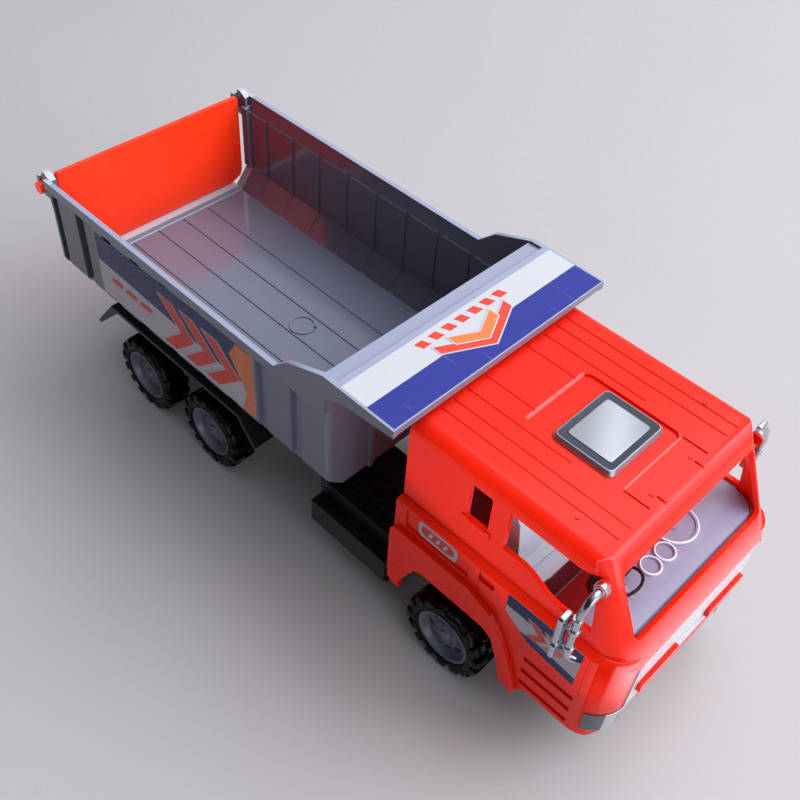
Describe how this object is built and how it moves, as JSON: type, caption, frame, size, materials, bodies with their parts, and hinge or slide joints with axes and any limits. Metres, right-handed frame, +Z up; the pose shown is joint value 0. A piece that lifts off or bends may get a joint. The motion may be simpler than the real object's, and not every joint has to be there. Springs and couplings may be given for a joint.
{
  "type": "toy dump truck",
  "caption": "Plastic toy tipper truck with a cab-over cab, a tilting open dump bed with a canopy, a top-hung swinging tailgate and lugged wheels on spinning axles.",
  "frame": {"origin": "on the ground under the middle of the truck's overall box", "axes": "+X to the front of the truck, +Y to its left side, +Z up"},
  "size_m": [0.355, 0.134, 0.13],
  "materials": {
    "cab_red": "high gloss moulded plastic",
    "gate_red": "high gloss moulded plastic",
    "bed_grey": "gloss moulded plastic",
    "chassis_black": "semi-gloss moulded plastic",
    "interior_lilac": "satin moulded plastic",
    "seat_grey": "satin moulded plastic",
    "wheel_dark": "satin moulded plastic",
    "hatch_trim": "gloss plastic with a metallic edge",
    "hatch_silver": "silver foil face",
    "chrome_trim": "vacuum-plated chrome on plastic",
    "lamp_dark": "smoked plastic",
    "grille_silver": "silver plated plastic",
    "sticker": "printed vinyl sticker",
    "badge_sticker": "printed vinyl sticker",
    "steel": "bright steel",
    "rim_grey": "semi-gloss moulded plastic",
    "tyre_black": "glossy moulded soft plastic"
  },
  "bodies": {
    "chassis": {"chassis": "chassis_black", "cab_shell": "cab_red", "cab_interior": "interior_lilac", "seats": "seat_grey", "steering_wheel": "wheel_dark", "roof_hatch_frame": "hatch_trim", "roof_hatch_plate": "hatch_silver", "mirror_right": "chrome_trim", "mirror_left": "chrome_trim", "headlights": "lamp_dark", "front_grille": "grille_silver", "door_stickers": "sticker", "cab_badges": "badge_sticker", "cab_screws": "steel"},
    "bed": {"dump_bed": "bed_grey", "bed_pivot_pin": "steel", "bed_side_stickers": "sticker", "canopy_sticker": "sticker"},
    "tailgate": {"tailgate": "gate_red"},
    "front_wheels": {"front_axle": "steel", "front_rims": "rim_grey", "front_tyres": "tyre_black"},
    "middle_wheels": {"middle_axle": "steel", "middle_rims": "rim_grey", "middle_tyres": "tyre_black"},
    "rear_wheels": {"rear_axle": "steel", "rear_rims": "rim_grey", "rear_tyres": "tyre_black"}
  },
  "joints": [
    {"name": "bed_tilt", "type": "hinge", "parent": "chassis", "child": "bed", "pos_m": [-0.1485, 0, 0.041], "axis": [0, -1, 0], "range_deg": [0, 45]},
    {"name": "tailgate_swing", "type": "hinge", "parent": "bed", "child": "tailgate", "pos_m": [-0.1731, 0, 0.106], "axis": [0, 1, 0], "range_deg": [0, 90]},
    {"name": "front_axle_spin", "type": "hinge", "parent": "chassis", "child": "front_wheels", "pos_m": [0.0995, 0, 0.021], "axis": [0, 1, 0], "continuous": true},
    {"name": "middle_axle_spin", "type": "hinge", "parent": "chassis", "child": "middle_wheels", "pos_m": [-0.0579, 0, 0.021], "axis": [0, 1, 0], "continuous": true},
    {"name": "rear_axle_spin", "type": "hinge", "parent": "chassis", "child": "rear_wheels", "pos_m": [-0.1109, 0, 0.021], "axis": [0, 1, 0], "continuous": true}
  ]
}
